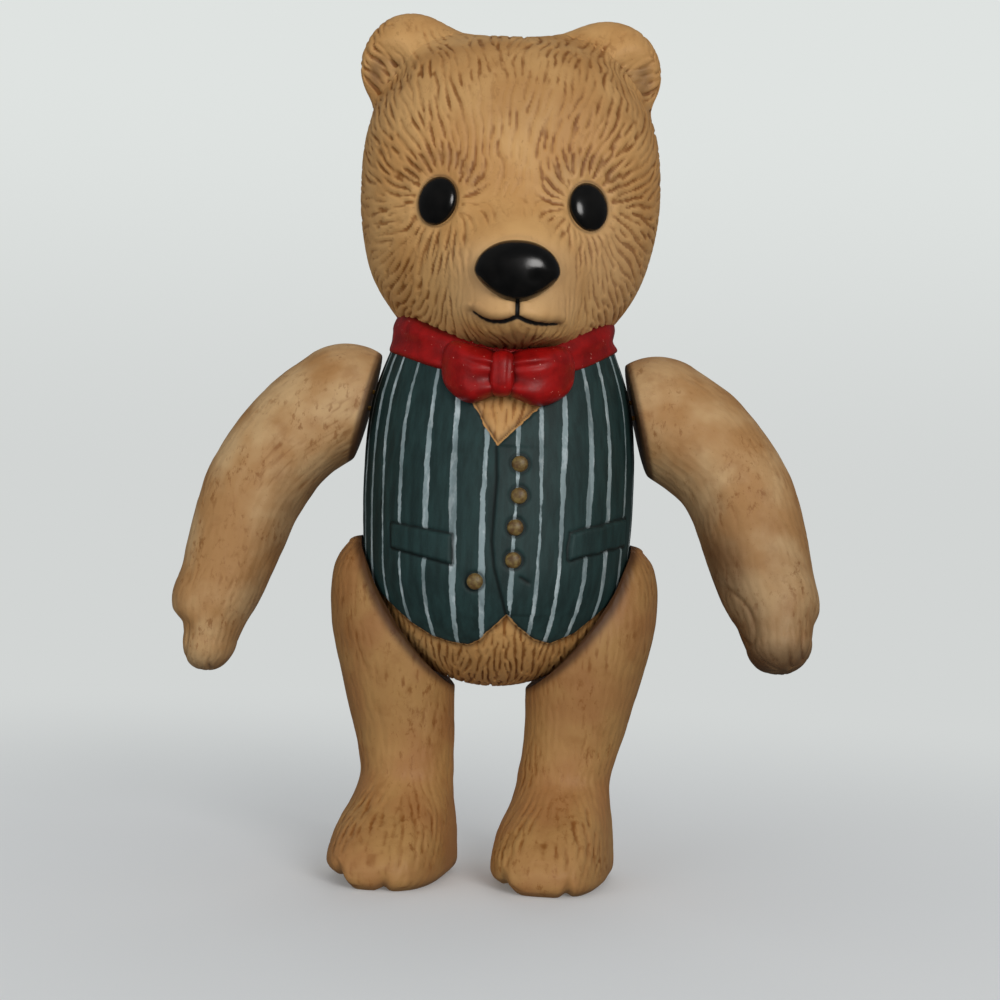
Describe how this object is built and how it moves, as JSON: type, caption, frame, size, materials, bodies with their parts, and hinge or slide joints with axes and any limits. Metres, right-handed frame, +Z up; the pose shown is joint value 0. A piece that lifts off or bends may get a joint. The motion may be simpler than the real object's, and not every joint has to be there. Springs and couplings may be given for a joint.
{
  "type": "jointed porcelain bear",
  "caption": "Standing bisque porcelain bear in a painted waistcoat and bow tie, with arms and legs strung on elastic so that they turn at the shoulders and hips.",
  "frame": {"origin": "on the floor under the middle of the bear's overall box, at the level of both soles", "axes": "+Z up, the bear faces -Y, and its own left side is +X"},
  "size_m": [0.081, 0.0384, 0.1082],
  "materials": {
    "painted_bisque": "matt fired bisque, painted and brushed with a brown wash",
    "washed_bisque": "matt fired bisque with a brown wash",
    "brass_wire": "drawn and bent",
    "plaster": "cast in place, matt",
    "elastic": "thread-covered",
    "crimp_metal": "pressed"
  },
  "bodies": {
    "trunk": {"body_casting": "painted_bisque", "shoulder_elastic": "elastic", "hip_elastic": "elastic", "shoulder_crimp": "crimp_metal", "hip_crimp": "crimp_metal"},
    "right_arm": {"right_arm": "washed_bisque", "right_arm_plug": "plaster", "right_arm_wire_eye": "brass_wire"},
    "right_leg": {"right_leg": "washed_bisque", "right_leg_plug": "plaster", "right_leg_wire_eye": "brass_wire"},
    "left_arm": {"left_arm": "washed_bisque", "left_arm_plug": "plaster", "left_arm_wire_eye": "brass_wire"},
    "left_leg": {"left_leg": "washed_bisque", "left_leg_plug": "plaster", "left_leg_wire_eye": "brass_wire"}
  },
  "joints": [
    {"name": "right_shoulder", "type": "hinge", "parent": "trunk", "child": "right_arm", "pos_m": [-0.01661, 0.0039, 0.059], "axis": [-0.9744, 0, 0.225], "range_deg": [-60, 150], "deforming": ["shoulder_elastic"]},
    {"name": "right_hip", "type": "hinge", "parent": "trunk", "child": "right_leg", "pos_m": [-0.01524, 0.0039, 0.03214], "axis": [-0.891, 0, -0.454], "range_deg": [-30, 100], "deforming": ["hip_elastic"]},
    {"name": "left_shoulder", "type": "hinge", "parent": "trunk", "child": "left_arm", "pos_m": [0.01661, 0.0039, 0.059], "axis": [-0.9744, 0, -0.225], "range_deg": [-80, 130], "deforming": ["shoulder_elastic"]},
    {"name": "left_hip", "type": "hinge", "parent": "trunk", "child": "left_leg", "pos_m": [0.01524, 0.0039, 0.03214], "axis": [-0.891, 0, 0.454], "range_deg": [-30, 100], "deforming": ["hip_elastic"]}
  ]
}
